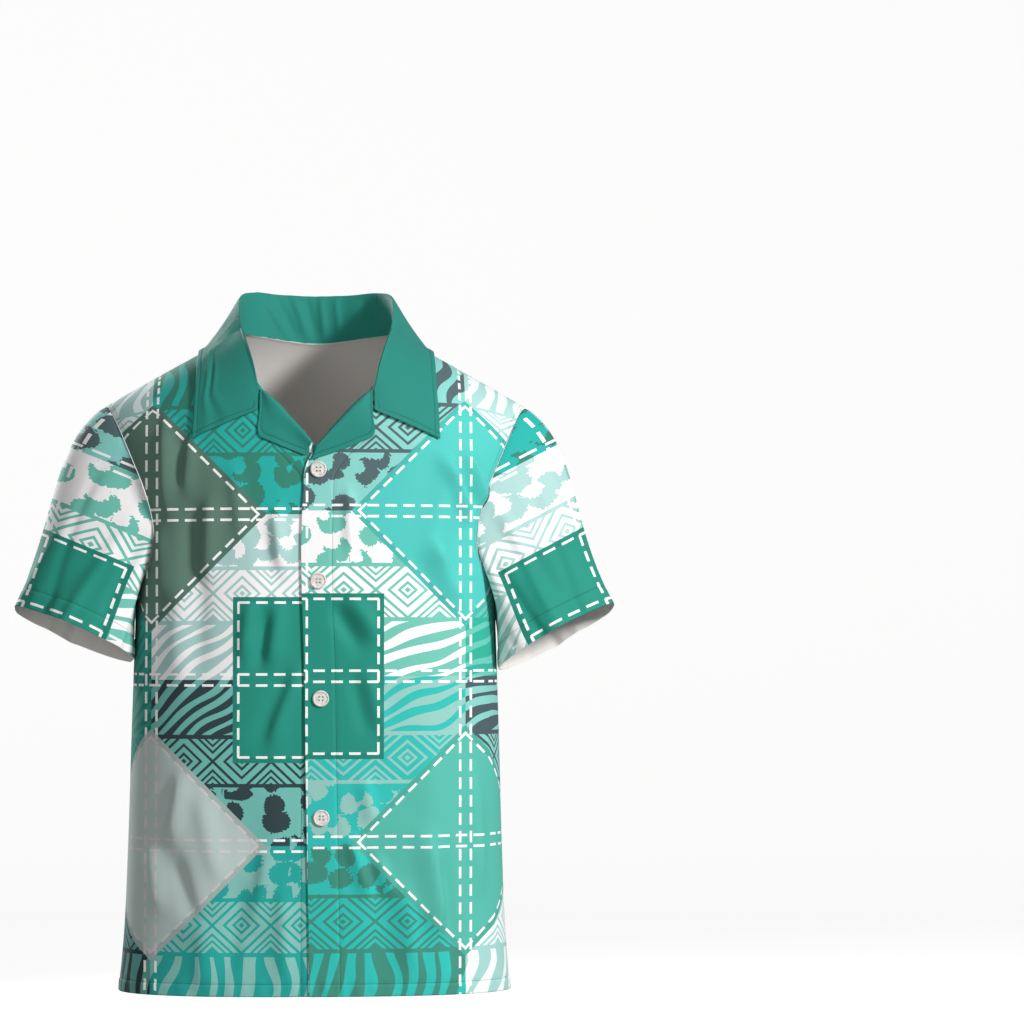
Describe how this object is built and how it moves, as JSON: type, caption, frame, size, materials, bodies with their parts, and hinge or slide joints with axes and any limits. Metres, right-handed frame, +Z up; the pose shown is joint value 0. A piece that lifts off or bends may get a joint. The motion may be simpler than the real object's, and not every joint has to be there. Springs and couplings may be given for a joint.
{
  "type": "hawaiian shirt",
  "caption": "Short-sleeved camp-collar shirt with notched lapels, filled out as worn: hollow, with open neck, cuffs and hem, buttoned down the front.",
  "frame": {"origin": "midway between the two points where neck seam and shoulder seam meet, where the wearer's shoulders hold the shirt", "axes": "+Z up, -Y towards the front of the shirt, +X towards the wearer's left"},
  "size_m": [0.6562, 0.2456, 0.7672],
  "materials": {
    "printed_cloth": "thin woven cloth, patchwork print in greens and turquoise, off-white inside",
    "plain_cloth": "the same cloth in plain green",
    "buttons": "moulded ivory plastic, satin"
  },
  "bodies": {
    "root": {"back": "printed_cloth", "front_right": "printed_cloth", "front_left": "printed_cloth", "sleeve_right": "printed_cloth", "sleeve_left": "printed_cloth", "collar": "plain_cloth", "lapel_right": "plain_cloth", "lapel_left": "plain_cloth", "button_1": "buttons", "button_2": "buttons", "button_3": "buttons", "button_4": "buttons"}
  },
  "joints": []
}
